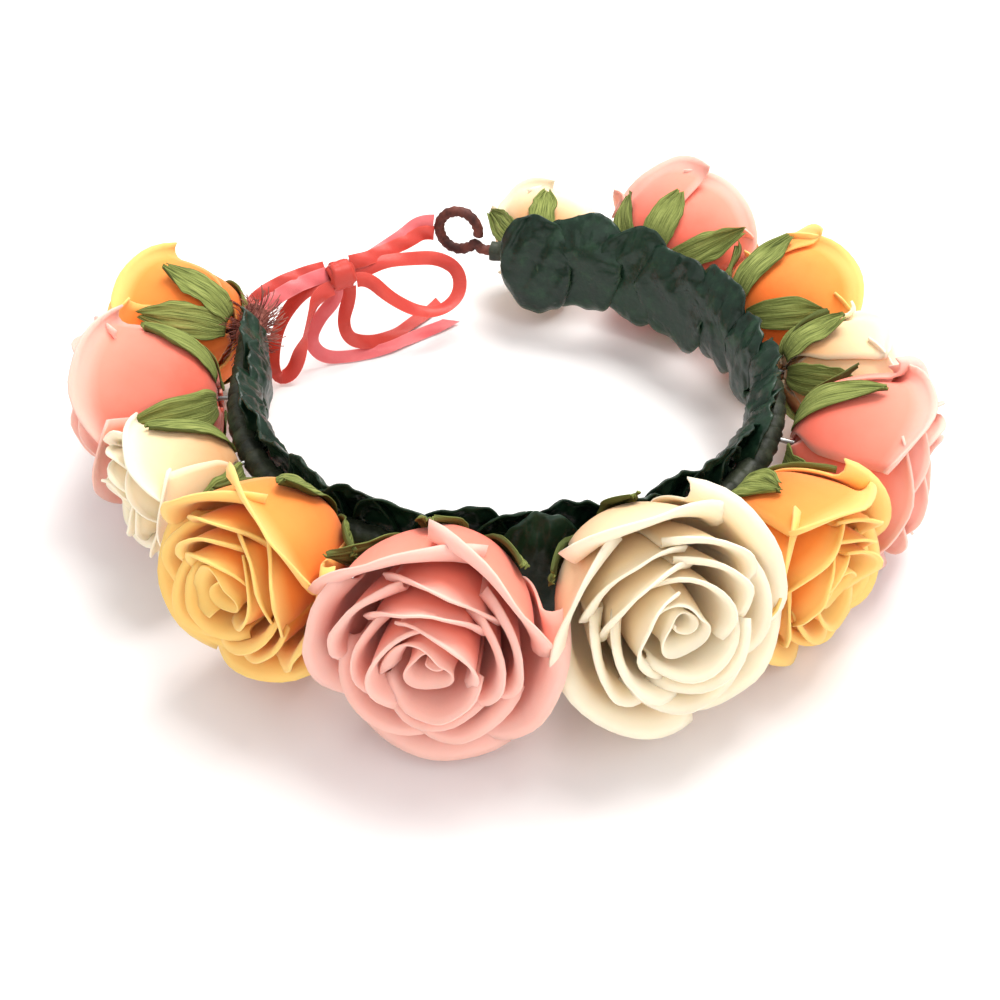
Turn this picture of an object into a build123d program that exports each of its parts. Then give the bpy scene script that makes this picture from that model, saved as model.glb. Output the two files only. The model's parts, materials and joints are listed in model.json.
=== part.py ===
"""Flower crown of foam roses on a wire band, tied at the back with a ribbon bow.

Millimetres, +Z up.  The origin is the centre of the head opening, on the surface that
the crown lies on.  The front of the crown is at -Y and the ribbon bow is at +Y.
"""
from build123d import *
from math import asin, atan2, cos, degrees, radians, sin, sqrt, tan
import os

# ---- band ---------------------------------------------------------------------------
BAND_R = 88.0              # centre line of the core wire, from the middle of the crown
WIRE_Z = 33.0              # height of the core wire above the table
WIRE_R = 1.5               # core wire
TAPE_R = 4.0               # floral tape wound over the wire and the rose stems
LEFT_END = 123.5           # azimuth where the left arm's wire ends
LEFT_STRAIGHT = 152.0      # the left arm runs straight from here to its end
RIGHT_END = 61.0           # azimuth where the right arm's wire ends
RIGHT_STRAIGHT = 44.0      # the right arm runs straight from here to its end
LEFT_FLEX = 189.0          # azimuth where the left arm bends against the front
RIGHT_FLEX = -16.2         # azimuth where the right arm bends against the front
FLEX_GAP = 2.0             # gap in the band's pieces at each bending place

# ---- waxed leaves lining the band -----------------------------------------------------
LEAF_T = 0.8
LEAF_GAP = 0.1             # between the two layers of overlapping leaves
LEAF_HEIGHT = 34.0
LEAF_LENGTH = 37.0         # along the band
LEAF_PITCH = 17.0          # degrees from one leaf to the next
END_LEAF_HEIGHT = 41.0     # the broad leaf at the right end
END_LEAF_LENGTH = 27.0

# ---- roses: rim radius, depth from the wire to the rim, and radius of the rolled bud --
LARGE = {"rim": 30.5, "depth": 48.0, "bud": 8.0}
MEDIUM = {"rim": 27.0, "depth": 46.0, "bud": 7.5}
SMALL = {"rim": 21.0, "depth": 41.0, "bud": 6.0}
PETAL_T = 1.4
NECK_R = 4.0               # foam neck at the back of every rose
NECK_START = 8.0           # from the wire to the back of the neck
COLLAR = 2.0               # length over which petals are glued to the neck or the bud
INNER_COLLAR = 11.0        # from the neck's collar to the inner petals' collar
OUTER_PETALS = 5
INNER_PETALS = 4
PETAL_GAP = 3.0            # degrees between neighbouring petals of a ring
SEPAL_T = 0.6
SEPAL_GAP = 0.3
SEPAL_WIDTH = 12.0
SEPAL_REACH = 0.62         # how far a sepal covers the rose, as a share of its depth
SEPALS = 4
STEM_R = 0.8
STEM_FIT = 0.05
STEM_IN_BUD = 6.0

# each rose: azimuth round the crown, size, and how many degrees it looks up from the
# level; None is a rose that hangs down until its lowest petal lies on the table
LEFT_ROSES = {
    "01": (129.5, MEDIUM, None),
    "02": (153.5, LARGE, None),
    "03": (176.5, SMALL, -3.0),
}
FRONT_ROSES = {
    "04": (203.5, MEDIUM, 10.0),
    "05": (229.0, LARGE, 6.0),
    "06": (256.5, LARGE, 14.0),
    "07": (281.0, MEDIUM, -3.0),
    "08": (306.5, LARGE, None),
    "09": (331.0, SMALL, -5.0),
}
RIGHT_ROSES = {
    "10": (355.0, MEDIUM, None),
    "11": (22.5, LARGE, None),
    "12": (50.0, SMALL, -14.0),
}

# ---- ends and ribbon ------------------------------------------------------------------
EYELET_R = 8.0             # centre line of the wrapped wire eye
EYELET_WIRE_R = 2.2
EYELET_NECK = 4.0          # from the band's end to the bend, and from there to the eye
EYELET_RISE = 38.0         # degrees that the eye leans up from the band
LASHING_R = 5.0
LASHING_LENGTH = 9.0
LASHING_CAP = 1.7
RIBBON_R = 1.25            # bunched ribbon
KNOT = (10.0, 9.0, 9.0)
KNOT_AT = (-17.5, 88.5, 37.0)
KNOT_FILLET = 1.6

os.makedirs("parts", exist_ok=True)


# ---- places on the band ---------------------------------------------------------------
def wire_radius(azimuth):
    """Distance of the wire from the middle of the crown; its two ends run straight."""
    if RIGHT_STRAIGHT < azimuth < 90:
        return BAND_R / cos(radians(azimuth - RIGHT_STRAIGHT))
    if 90 < azimuth < LEFT_STRAIGHT:
        return BAND_R / cos(radians(LEFT_STRAIGHT - azimuth))
    return BAND_R


def on_band(azimuth, radius, height):
    return Vector(
        radius * cos(radians(azimuth)), radius * sin(radians(azimuth)), height
    )


def wire_point(azimuth):
    return on_band(azimuth, wire_radius(azimuth), WIRE_Z)


def resting_tilt(size):
    """Angle to the level at which a rose's lowest petal touches the table."""
    reach = sqrt(size["depth"] ** 2 + size["rim"] ** 2)
    return degrees(atan2(size["rim"], size["depth"]) - asin(WIRE_Z / reach))


def head_plane(azimuth, size, tilt):
    """Z out along the rose from the wire, X level along the band."""
    up = radians(resting_tilt(size) if tilt is None else tilt)
    out = (
        cos(radians(azimuth)) * cos(up),
        sin(radians(azimuth)) * cos(up),
        sin(up),
    )
    along = (-sin(radians(azimuth)), cos(radians(azimuth)), 0)
    return Plane(origin=wire_point(azimuth), x_dir=along, z_dir=out)


# ---- rose pieces, each modelled about its own axis ------------------------------------
def outer_profile(size):
    """Radius and height of the outside of the outer petals, above their collar."""
    rim, depth = size["rim"], size["depth"]
    return [
        (NECK_R + PETAL_T, NECK_START + COLLAR),
        (0.50 * rim, 0.31 * depth),
        (0.70 * rim, 0.48 * depth),
        (0.85 * rim, 0.66 * depth),
        (0.94 * rim, 0.86 * depth),
        (rim, depth),
    ]


def inner_profile(size):
    """Radius and height of the outside of the inner petals, above their collar."""
    rim, depth = size["rim"], size["depth"]
    return [
        (size["bud"] + PETAL_T, NECK_START + INNER_COLLAR + COLLAR),
        (0.41 * rim, 0.60 * depth),
        (0.54 * rim, 0.80 * depth),
        (0.66 * rim, 0.97 * depth),
    ]


def shell(outside, thickness, collar, arc, width, top):
    """One petal or sepal: a sector of a cup whose tip is cut to a rounded outline."""
    inside = [(r - thickness, h) for r, h in outside]
    foot = outside[0][1] - collar
    reach = outside[-1][0]
    with BuildPart() as petal:
        with BuildSketch(Plane.XZ.rotated((0, 0, -arc / 2))):
            with BuildLine():
                Spline(*outside)
                Line(outside[-1], inside[-1])
                Spline(*inside)
                Polyline(
                    inside[0],
                    (inside[0][0], foot),
                    (outside[0][0], foot),
                    outside[0],
                )
            make_face()
        revolve(axis=Axis.Z, revolution_arc=arc)
        with BuildSketch(Plane.YZ):
            with Locations((0, top - width / 2)):
                Circle(width / 2)
            with Locations((0, (top - width / 2 + foot) / 2)):
                Rectangle(width, top - width / 2 - foot)
        extrude(amount=reach + 1, mode=Mode.INTERSECT)
    return petal.part


def petal_ring(petal, count, start):
    with BuildPart() as ring:
        with PolarLocations(0, count, start_angle=start):
            add(petal)
    return ring.part


def outer_ring(size):
    arc = 360 / OUTER_PETALS - PETAL_GAP
    width = 2 * size["rim"] * sin(radians(arc / 2)) + 1
    profile = outer_profile(size)
    petal = shell(profile, PETAL_T, COLLAR, arc, width, size["depth"])
    return petal_ring(petal, OUTER_PETALS, -90)


def inner_ring(size):
    arc = 360 / INNER_PETALS - PETAL_GAP
    profile = inner_profile(size)
    width = 2 * profile[-1][0] * sin(radians(arc / 2)) + 1
    petal = shell(profile, PETAL_T, COLLAR, arc, width, profile[-1][1])
    return petal_ring(petal, INNER_PETALS, -45)


def sepal_ring(size):
    """Crepe-paper strips lying over the back of the rose, clear of the table."""
    outside = [(r + SEPAL_GAP + SEPAL_T, h) for r, h in outer_profile(size)[:3]]
    outside[0] = (NECK_R + PETAL_T + SEPAL_T, NECK_START + COLLAR)
    reach = SEPAL_REACH * size["depth"]
    last_r, last_h = outer_profile(size)[3]
    before_r, before_h = outer_profile(size)[2]
    share = (reach - before_h) / (last_h - before_h)
    outside.append((before_r + share * (last_r - before_r) + SEPAL_GAP + SEPAL_T, reach))
    arc = 2 * degrees(asin(SEPAL_WIDTH / 2 / outside[1][0]))
    sepal = shell(outside, SEPAL_T, COLLAR, arc, SEPAL_WIDTH, reach)
    return petal_ring(sepal, SEPALS, 45)


def bud_solid(size):
    """Foam neck and rolled bud, bored for the stem wire."""
    depth, bud = size["depth"], size["bud"]
    collar_end = NECK_START + INNER_COLLAR + COLLAR
    with BuildPart() as rolled:
        with BuildSketch(Plane.XZ):
            with BuildLine():
                Polyline(
                    (0, NECK_START),
                    (NECK_R, NECK_START),
                    (NECK_R, NECK_START + COLLAR + 1),
                    (bud, collar_end - COLLAR - 2),
                    (bud, collar_end),
                )
                Spline(
                    (bud, collar_end),
                    (bud + 0.8, 0.62 * depth),
                    (0.8 * bud, 0.85 * depth),
                    (0.35 * bud, 0.95 * depth),
                )
                Line((0.35 * bud, 0.95 * depth), (0, 0.95 * depth))
                Line((0, 0.95 * depth), (0, NECK_START))
            make_face()
        revolve(axis=Axis.Z)
        with BuildSketch(Plane.XY.offset(NECK_START)):
            Circle(STEM_R + STEM_FIT)
        extrude(amount=STEM_IN_BUD, mode=Mode.SUBTRACT)
    return rolled.part


def stem_solid():
    """Stem wire from the core wire to inside the bud."""
    with BuildPart() as stem:
        with BuildSketch(Plane.XY.offset(WIRE_R)):
            Circle(STEM_R)
        extrude(amount=NECK_START + STEM_IN_BUD - WIRE_R)
    return stem.part


def stem_hole():
    with BuildPart() as hole:
        with BuildSketch(Plane.XY.offset(WIRE_R)):
            Circle(STEM_R + STEM_FIT)
        extrude(amount=NECK_START)
    return hole.part


SIZES = (LARGE, MEDIUM, SMALL)
OUTER_RING = {size["rim"]: outer_ring(size) for size in SIZES}
INNER_RING = {size["rim"]: inner_ring(size) for size in SIZES}
SEPAL_RING = {size["rim"]: sepal_ring(size) for size in SIZES}
BUD = {size["rim"]: bud_solid(size) for size in SIZES}
STEM = stem_solid()
STEM_HOLE = stem_hole()


def placed(shape, rose):
    return head_plane(*rose).location * shape


def make_roses(roses):
    for number, rose in roses.items():
        pieces = {
            "outer_petals": OUTER_RING,
            "inner_petals": INNER_RING,
            "bud": BUD,
        }
        for piece, shapes in pieces.items():
            with BuildPart(head_plane(*rose)) as head:
                add(shapes[rose[1]["rim"]])
            head.part.label = f"rose_{number}_{piece}"
            export_step(head.part, f"parts/rose_{number}_{piece}.step")


# ---- band pieces ----------------------------------------------------------------------
def gap_angle(radius):
    """Half of the flex gap, as an angle at this radius."""
    return degrees(asin(FLEX_GAP / 2 / radius))


def wire_path(body):
    half = gap_angle(BAND_R)
    front_from = LEFT_FLEX + half
    front_size = RIGHT_FLEX - half + 360 - front_from
    left_size = LEFT_FLEX - half - LEFT_STRAIGHT
    right_size = RIGHT_STRAIGHT - RIGHT_FLEX - half
    centre = (0, 0, WIRE_Z)
    with BuildLine() as path:
        if body == "front":
            CenterArc(centre, BAND_R, front_from, front_size)
        elif body == "left":
            CenterArc(centre, BAND_R, LEFT_STRAIGHT, left_size)
            Line(wire_point(LEFT_END), wire_point(LEFT_STRAIGHT))
        else:
            CenterArc(centre, BAND_R, RIGHT_FLEX + half, right_size)
            Line(wire_point(RIGHT_STRAIGHT), wire_point(RIGHT_END))
    return path.wire()


def end_plane(body):
    """Section plane at the start of the band's path."""
    path = wire_path(body)
    return Plane(origin=path @ 0, z_dir=path % 0)


def leaf(azimuth, layer, height, length):
    """A rounded leaf standing along the inside of the band, bent to its curve."""
    inside = BAND_R - TAPE_R - LEAF_T - layer * (LEAF_T + LEAF_GAP)
    facing = Plane(
        origin=(0, 0, WIRE_Z),
        x_dir=(-sin(radians(azimuth)), cos(radians(azimuth)), 0),
        z_dir=(cos(radians(azimuth)), sin(radians(azimuth)), 0),
    )
    with BuildPart() as blade:
        with BuildSketch(Plane.XY.offset(WIRE_Z)):
            Circle(inside + LEAF_T)
            Circle(inside, mode=Mode.SUBTRACT)
        extrude(amount=height, both=True)
        with BuildSketch(facing):
            Ellipse(length / 2, height / 2)
        extrude(amount=BAND_R, mode=Mode.INTERSECT)
    return blade.part


def end_leaf(azimuth, straight, layer, height, length):
    """The same leaf lying flat along an arm's straight end."""
    lean = radians(azimuth - straight)
    slide = BAND_R * tan(lean)
    face = on_band(straight, BAND_R - TAPE_R - LEAF_T - layer * (LEAF_T + LEAF_GAP), WIRE_Z)
    along = Vector(-sin(radians(straight)), cos(radians(straight)), 0)
    out = (cos(radians(straight)), sin(radians(straight)), 0)
    with BuildPart() as blade:
        with BuildSketch(Plane(origin=face + along * slide, x_dir=along, z_dir=out)):
            Ellipse(length / 2, height / 2)
        extrude(amount=LEAF_T)
    return blade.part


def make_leaves(body, first, last):
    """Leaves side by side in two layers, the end ones centred at first and last."""
    count = round((last - first) / LEAF_PITCH) + 1
    step = (last - first) / (count - 1)
    with BuildPart() as leaves:
        for i in range(count):
            add(leaf(first + i * step, i % 2, LEAF_HEIGHT, LEAF_LENGTH))
        if body == "left":
            add(end_leaf(143.5, LEFT_STRAIGHT, 2, LEAF_HEIGHT, LEAF_LENGTH))
        if body == "right":
            add(end_leaf(54.0, RIGHT_STRAIGHT, 2, END_LEAF_HEIGHT, END_LEAF_LENGTH))
    leaves.part.label = f"leaves_{body}"
    export_step(leaves.part, f"parts/leaves_{body}.step")


def make_band(body, roses):
    start = end_plane(body)
    with BuildPart() as wire:
        with BuildSketch(start):
            Circle(WIRE_R)
        sweep(path=wire_path(body))
    wire.part.label = f"wire_{body}"
    export_step(wire.part, f"parts/wire_{body}.step")

    with BuildPart() as tape:
        with BuildSketch(start):
            Circle(TAPE_R)
            Circle(WIRE_R, mode=Mode.SUBTRACT)
        sweep(path=wire_path(body))
        for rose in roses.values():
            add(placed(STEM_HOLE, rose), mode=Mode.SUBTRACT)
    tape.part.label = f"tape_{body}"
    export_step(tape.part, f"parts/tape_{body}.step")

    with BuildPart() as stems:
        for rose in roses.values():
            add(placed(STEM, rose))
        add(wire.part, mode=Mode.SUBTRACT)
    stems.part.label = f"stems_{body}"
    export_step(stems.part, f"parts/stems_{body}.step")

    with BuildPart() as sepals:
        for rose in roses.values():
            add(placed(SEPAL_RING[rose[1]["rim"]], rose))
    sepals.part.label = f"sepals_{body}"
    export_step(sepals.part, f"parts/sepals_{body}.step")


make_roses(LEFT_ROSES)
make_roses(FRONT_ROSES)
make_roses(RIGHT_ROSES)
make_band("left", LEFT_ROSES)
make_band("front", FRONT_ROSES)
make_band("right", RIGHT_ROSES)
# no leaf lies over a bending place, where the nearest two keep the flex gap
leaf_reach = degrees(LEAF_LENGTH / 2 / (BAND_R - TAPE_R)) + gap_angle(BAND_R - TAPE_R)
make_leaves("left", LEFT_STRAIGHT + LEAF_PITCH / 2, LEFT_FLEX - leaf_reach)
make_leaves("front", LEFT_FLEX + leaf_reach, RIGHT_FLEX + 360 - leaf_reach)
make_leaves("right", RIGHT_FLEX + leaf_reach, RIGHT_STRAIGHT - LEAF_PITCH / 2)

# ---- wrapped wire eye on the right end --------------------------------------------------
right_along = Vector(-sin(radians(RIGHT_STRAIGHT)), cos(radians(RIGHT_STRAIGHT)), 0)
right_out = Vector(cos(radians(RIGHT_STRAIGHT)), sin(radians(RIGHT_STRAIGHT)), 0)
eye_rise = Vector(0, 0, 1) * sin(radians(EYELET_RISE))
eye_way = right_along * cos(radians(EYELET_RISE)) + eye_rise
eye_start = wire_point(RIGHT_END)
eye_bend = eye_start + right_along * EYELET_NECK
eye_near = eye_bend + eye_way * EYELET_NECK
eye_centre = eye_near + eye_way * EYELET_R
with BuildPart(Plane(origin=eye_centre, x_dir=right_along, z_dir=right_out)) as eyelet:
    Torus(EYELET_R, EYELET_WIRE_R)
    with BuildLine(Plane.XY) as eye_neck:
        FilletPolyline(eye_start, eye_bend, eye_near, radius=EYELET_NECK)
    with BuildSketch(Plane(origin=eye_start, z_dir=right_along)):
        Circle(EYELET_WIRE_R)
    sweep(path=eye_neck.wire())
eyelet.part.label = "eyelet_right"
export_step(eyelet.part, "parts/eyelet_right.step")

# ---- lashing over the left end ----------------------------------------------------------
left_along = Vector(sin(radians(LEFT_STRAIGHT)), -cos(radians(LEFT_STRAIGHT)), 0)
lashing_from = wire_point(LEFT_END) - left_along * (LASHING_LENGTH - LASHING_CAP)
with BuildPart(Plane(origin=lashing_from, z_dir=left_along)) as lashing:
    with BuildSketch(Plane(origin=lashing_from, z_dir=left_along)):
        Circle(LASHING_R)
    extrude(amount=LASHING_LENGTH)
    with BuildSketch(Plane(origin=lashing_from, z_dir=left_along)):
        Circle(TAPE_R)
    extrude(amount=LASHING_LENGTH - LASHING_CAP, mode=Mode.SUBTRACT)
lashing.part.label = "lashing_left"
export_step(lashing.part, "parts/lashing_left.step")


# ---- ribbon: a knot between the two ends, its strands, loops and tails ------------------
def ribbon(name, route):
    """A strand of ribbon, bunched to a round section, along a limp smooth route."""
    points = [Vector(*point) for point in route]
    radii = []
    for before, corner, after in zip(points, points[1:], points[2:]):
        turn = (corner - before).get_angle(after - corner)
        shorter = min((corner - before).length, (after - corner).length)
        radii.append(0.45 * shorter / tan(radians(turn / 2)))
    with BuildLine() as path:
        FilletPolyline(*points, radius=radii)
    with BuildPart() as strand:
        with BuildSketch(Plane(origin=points[0], z_dir=points[1] - points[0])):
            Circle(RIBBON_R)
        sweep(path=path.wire())
    strand.part.label = name
    export_step(strand.part, f"parts/{name}.step")
    length = path.wire().length
    share = strand.part.volume / (length * 3.14159 * RIBBON_R**2)
    print(name, round(length, 1), round(share, 4), [round(r, 1) for r in radii])


knot_x, knot_y, knot_z = KNOT_AT
knot_left = knot_x - KNOT[0] / 2
knot_right = knot_x + KNOT[0] / 2
knot_under = knot_z - KNOT[2] / 2
with BuildPart(Plane(origin=KNOT_AT)) as knot:
    Box(*KNOT)
    fillet(knot.edges(), radius=KNOT_FILLET)
knot.part.label = "bow_knot"
export_step(knot.part, "parts/bow_knot.step")

cap_out = wire_point(LEFT_END) + left_along * LASHING_CAP
STRAND_LEFT = [
    cap_out,
    cap_out + left_along * 5,
    (-46.5, 90.8, 35.4),
    (-38.0, 91.2, 37.6),
    (-29.5, 90.5, 39.0),
    (knot_left, 90.5, 39.0),
]
eye_side = eye_centre + right_along * (EYELET_R + EYELET_WIRE_R)
STRAND_RIGHT = [
    eye_side,
    eye_side + right_along * 5,
    (16.0, 98.5, 38.6),
    (5.0, 95.0, 38.4),
    (-5.0, 90.5, 39.0),
    (knot_right, 90.5, 39.0),
]
LOOP_LEFT = [
    (knot_left, 89.0, 35.6),
    (-28.0, 89.0, 35.6),
    (-36.5, 90.5, 31.0),
    (-45.0, 89.8, 21.5),
    (-49.6, 87.5, 10.0),
    (-49.2, 84.8, 2.8),
    (-43.2, 83.2, 5.0),
    (-38.6, 83.4, 15.0),
    (-33.4, 84.6, 25.5),
    (-28.2, 85.8, 34.2),
    (knot_left, 85.8, 34.2),
]
LOOP_RIGHT = [
    (knot_right, 86.0, 34.4),
    (-8.0, 86.0, 34.4),
    (-1.0, 81.5, 25.0),
    (9.0, 77.6, 17.5),
    (19.5, 76.6, 15.6),
    (28.6, 78.8, 19.0),
    (31.0, 83.0, 27.0),
    (24.0, 87.0, 33.0),
    (13.0, 89.4, 34.6),
    (1.0, 90.0, 36.6),
    (-7.0, 89.3, 35.6),
    (knot_right, 89.3, 35.6),
]
TAIL_CORAL = [
    (-15.4, 87.0, knot_under),
    (-15.4, 87.0, 27.5),
    (-19.6, 86.6, 18.5),
    (-18.0, 85.8, 10.0),
    (-9.5, 86.6, 5.0),
    (2.5, 90.0, 1.7),
    (14.5, 95.5, 1.5),
    (25.0, 99.4, 1.6),
    (33.0, 104.5, 1.5),
]
TAIL_PINK = [
    (-19.8, 89.0, knot_under),
    (-19.8, 89.0, 27.5),
    (-27.5, 90.8, 20.0),
    (-32.5, 91.4, 11.0),
    (-28.0, 89.0, 3.0),
    (-17.0, 85.4, 1.5),
    (-5.0, 83.6, 1.6),
    (7.0, 85.4, 1.5),
    (18.5, 86.0, 1.6),
    (29.5, 88.6, 1.5),
]
ribbon("ribbon_strand_left", STRAND_LEFT)
ribbon("ribbon_strand_right", STRAND_RIGHT)
ribbon("bow_loop_left", LOOP_LEFT)
ribbon("bow_loop_right", LOOP_RIGHT)
ribbon("bow_tail_coral", TAIL_CORAL)
ribbon("bow_tail_pink", TAIL_PINK)
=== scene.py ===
"""Flower crown: foam roses on a leaf-lined wire band, tied at the back with satin ribbon.

Everything is in metres in the crown's own frame: +Z up, the front at -Y, the bow at +Y.
"""

import json
import math

import bpy
import numpy as np
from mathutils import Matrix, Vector


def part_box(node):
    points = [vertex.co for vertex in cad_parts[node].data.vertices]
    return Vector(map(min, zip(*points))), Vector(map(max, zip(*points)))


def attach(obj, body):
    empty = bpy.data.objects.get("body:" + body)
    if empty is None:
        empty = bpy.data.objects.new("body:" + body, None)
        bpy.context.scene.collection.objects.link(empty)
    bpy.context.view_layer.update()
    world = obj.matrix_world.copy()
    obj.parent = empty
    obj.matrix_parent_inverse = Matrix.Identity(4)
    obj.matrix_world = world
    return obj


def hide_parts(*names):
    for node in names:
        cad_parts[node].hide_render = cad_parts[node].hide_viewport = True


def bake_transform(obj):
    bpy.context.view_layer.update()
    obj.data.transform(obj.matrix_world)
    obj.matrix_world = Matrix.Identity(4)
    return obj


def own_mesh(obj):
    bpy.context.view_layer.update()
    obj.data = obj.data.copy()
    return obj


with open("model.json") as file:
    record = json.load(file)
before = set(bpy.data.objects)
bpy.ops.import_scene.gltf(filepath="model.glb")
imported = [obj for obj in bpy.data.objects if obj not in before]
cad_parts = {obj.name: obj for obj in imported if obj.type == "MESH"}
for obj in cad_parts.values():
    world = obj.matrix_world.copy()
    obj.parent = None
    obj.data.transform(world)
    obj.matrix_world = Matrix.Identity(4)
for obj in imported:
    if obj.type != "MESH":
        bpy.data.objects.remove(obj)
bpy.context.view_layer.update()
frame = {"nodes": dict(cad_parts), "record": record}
MM = 0.001

# ---- sizes of the soft pieces, in millimetres ----
NECK = 8.0               # from the core wire to the back of a rose
FOAM = 1.1               # thickness of a foam petal
CREPE = 0.45             # thickness of a crepe-paper sepal
WAXED = 0.6              # thickness of a waxed leaf
RIBBON_WIDTH = 5.5
RIBBON_THICK = 0.35
TAPE_PITCH = 6.5         # from one turn of floral tape to the next

COLOURS = {
    "01": "orange", "02": "pink", "03": "cream", "04": "orange", "05": "pink",
    "06": "cream", "07": "orange", "08": "pink", "09": "cream", "10": "orange",
    "11": "pink", "12": "cream",
}
BODY_OF_ROSE = {
    number: body for number in COLOURS for body, nodes in
    frame["record"]["behaviour"]["bodies"].items() if f"rose_{number}_bud" in nodes
}
TINY = 1e-9              # keeps a flat spot of a sheet from dividing by nothing
DRAWN_RIM, DRAWN_DEPTH = 32, 58      # the rose that the petal outlines are drawn for
HEART_RADIUS, HEART_FOOT, HEART_TOP = 9.6, 15, 57.5
EYE_RADIUS = 8.0


# ---- camera ----
def linked(thing):
    bpy.context.scene.collection.objects.link(thing)
    return thing


def make_camera():
    data = bpy.data.cameras.new("camera")
    data.lens = 41.5
    data.sensor_width = 36.0
    data.shift_x, data.shift_y = -0.0064, -0.0303
    data.clip_start, data.clip_end = 0.01, 20
    camera = linked(bpy.data.objects.new("camera", data))
    camera.location = (-0.173, -0.2705, 0.2499)
    aim = Vector((0.4218, 0.6596, -0.6221))
    camera.rotation_mode = "QUATERNION"
    camera.rotation_quaternion = aim.to_track_quat("-Z", "Y")
    bpy.context.scene.camera = camera


# ---- mesh helpers ----
class Sheets:
    """Thick sheets gathered into one mesh, with a 'tint' attribute for the materials.

    tint: red runs from root to tip, green is 1 on the front and 0 on the back, blue is
    a random shade of the sheet, alpha is 1 at the outline and 0 in the middle.
    """

    def __init__(self):
        self.points, self.faces, self.tint, self.uv = [], [], [], []
        self.count = 0

    def add(self, grid, thickness, shade=0.5):
        """grid is (n, m, 3) in millimetres, m running from root to tip."""
        n, m = grid.shape[:2]
        across = np.gradient(grid, axis=0)
        along = np.gradient(grid, axis=1)
        normal = np.cross(across, along)
        length = np.linalg.norm(normal, axis=2, keepdims=True)
        normal = normal / np.maximum(length, TINY)
        u, v = np.meshgrid(np.linspace(-1, 1, n), np.linspace(0, 1, m), indexing="ij")
        edge = np.maximum(np.abs(u), v)
        taper = 1 - 0.35 * np.clip((edge - 0.85) / 0.15, 0, 1)
        offset = normal * (thickness / 2) * taper[..., None]
        start = self.count
        front = (grid + offset).reshape(-1, 3)
        back = (grid - offset).reshape(-1, 3)
        self.points += [front, back]
        for side in (1.0, 0.0):
            tint = np.stack([v, np.full_like(v, side), np.full_like(v, shade), edge], -1)
            self.tint.append(tint.reshape(-1, 4))
            self.uv.append(np.stack([(u + 1) / 2, v], -1).reshape(-1, 2))
        index = np.arange(n * m).reshape(n, m)
        quads = np.stack(
            [index[:-1, :-1], index[1:, :-1], index[1:, 1:], index[:-1, 1:]], -1
        ).reshape(-1, 4)
        self.faces.append(quads + start)
        self.faces.append(quads[:, ::-1] + start + n * m)
        rim = np.concatenate(
            [index[:, 0], index[-1, 1:], index[-2::-1, -1], index[0, -2:0:-1]]
        )
        after = np.roll(rim, -1)
        wall = np.stack([after, rim, rim + n * m, after + n * m], -1)
        self.faces.append(wall + start)
        self.count += 2 * n * m

    def piece(self, name, material, place=None):
        points = np.concatenate(self.points)
        if place is not None:
            points = place(points)
        return make_piece(
            name, points * MM, np.concatenate(self.faces), material,
            np.concatenate(self.tint), np.concatenate(self.uv),
        )


def make_piece(name, points, faces, material, tint=None, uv=None):
    mesh = bpy.data.meshes.new(name)
    mesh.from_pydata(points.tolist(), [], [list(map(int, f)) for f in faces])
    mesh.polygons.foreach_set("use_smooth", np.ones(len(mesh.polygons), bool))
    if tint is not None:
        layer = mesh.color_attributes.new("tint", "FLOAT_COLOR", "POINT")
        layer.data.foreach_set("color", tint.astype(np.float32).ravel())
    if uv is not None:
        corner = np.zeros(len(mesh.loops), np.int32)
        mesh.loops.foreach_get("vertex_index", corner)
        layer = mesh.uv_layers.new(name="surface")
        layer.data.foreach_set("uv", uv[corner].astype(np.float32).ravel())
    mesh.materials.append(material)
    return linked(bpy.data.objects.new(name, mesh))


def stands_for(piece, node_name, body):
    """The piece rides the body and takes the place of the CAD node, which is hidden."""
    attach(piece, body)
    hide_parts(node_name)


def wave(rng, u, v, size, rate=2.0):
    """A soft unevenness over a sheet, up to about size."""
    total = np.zeros_like(u)
    for k in range(1, 4):
        a, b = rng.uniform(-1, 1, 2) * rate * k
        total += np.sin(a * u * 2 + b * v * 3 + rng.uniform(0, 6.28)) / k
    return total * size / 1.8


def spline_line(route):
    """Points, in millimetres, along the smooth line that the route's points steer."""
    data = bpy.data.curves.new("route", "CURVE")
    data.dimensions = "3D"
    spline = data.splines.new("NURBS")
    spline.points.add(len(route) - 1)
    for point, place in zip(spline.points, route):
        point.co = (*place, 1)
    spline.order_u = 3
    spline.use_endpoint_u = True
    spline.resolution_u = 12
    holder = linked(bpy.data.objects.new("route", data))
    bpy.context.view_layer.update()
    mesh = bpy.data.meshes.new_from_object(holder)
    line = np.array([list(v.co) for v in mesh.vertices])
    bpy.data.objects.remove(holder)
    bpy.data.meshes.remove(mesh)
    bpy.data.curves.remove(data)
    return line


def even(line, count):
    """The same line with evenly spaced points."""
    step = np.linalg.norm(np.diff(line, axis=0), axis=1)
    run = np.concatenate([[0], np.cumsum(step)])
    at = np.linspace(0, run[-1], count)
    return np.stack([np.interp(at, run, line[:, i]) for i in range(3)], -1), run[-1]


# ---- shader groups and materials ----
def new_group(name, inputs, outputs):
    group = bpy.data.node_groups.new(name, "ShaderNodeTree")
    for label, kind, value in inputs:
        socket = group.interface.new_socket(label, in_out="INPUT", socket_type=kind)
        socket.default_value = value
    for label, kind in outputs:
        group.interface.new_socket(label, in_out="OUTPUT", socket_type=kind)
    enter = group.nodes.new("NodeGroupInput")
    leave = group.nodes.new("NodeGroupOutput")
    return group, enter, leave


def node(tree, kind, values=None, **settings):
    made = tree.nodes.new(kind)
    for key, value in settings.items():
        setattr(made, key, value)
    for key, value in (values or {}).items():
        made.inputs[key].default_value = value
    return made


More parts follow.
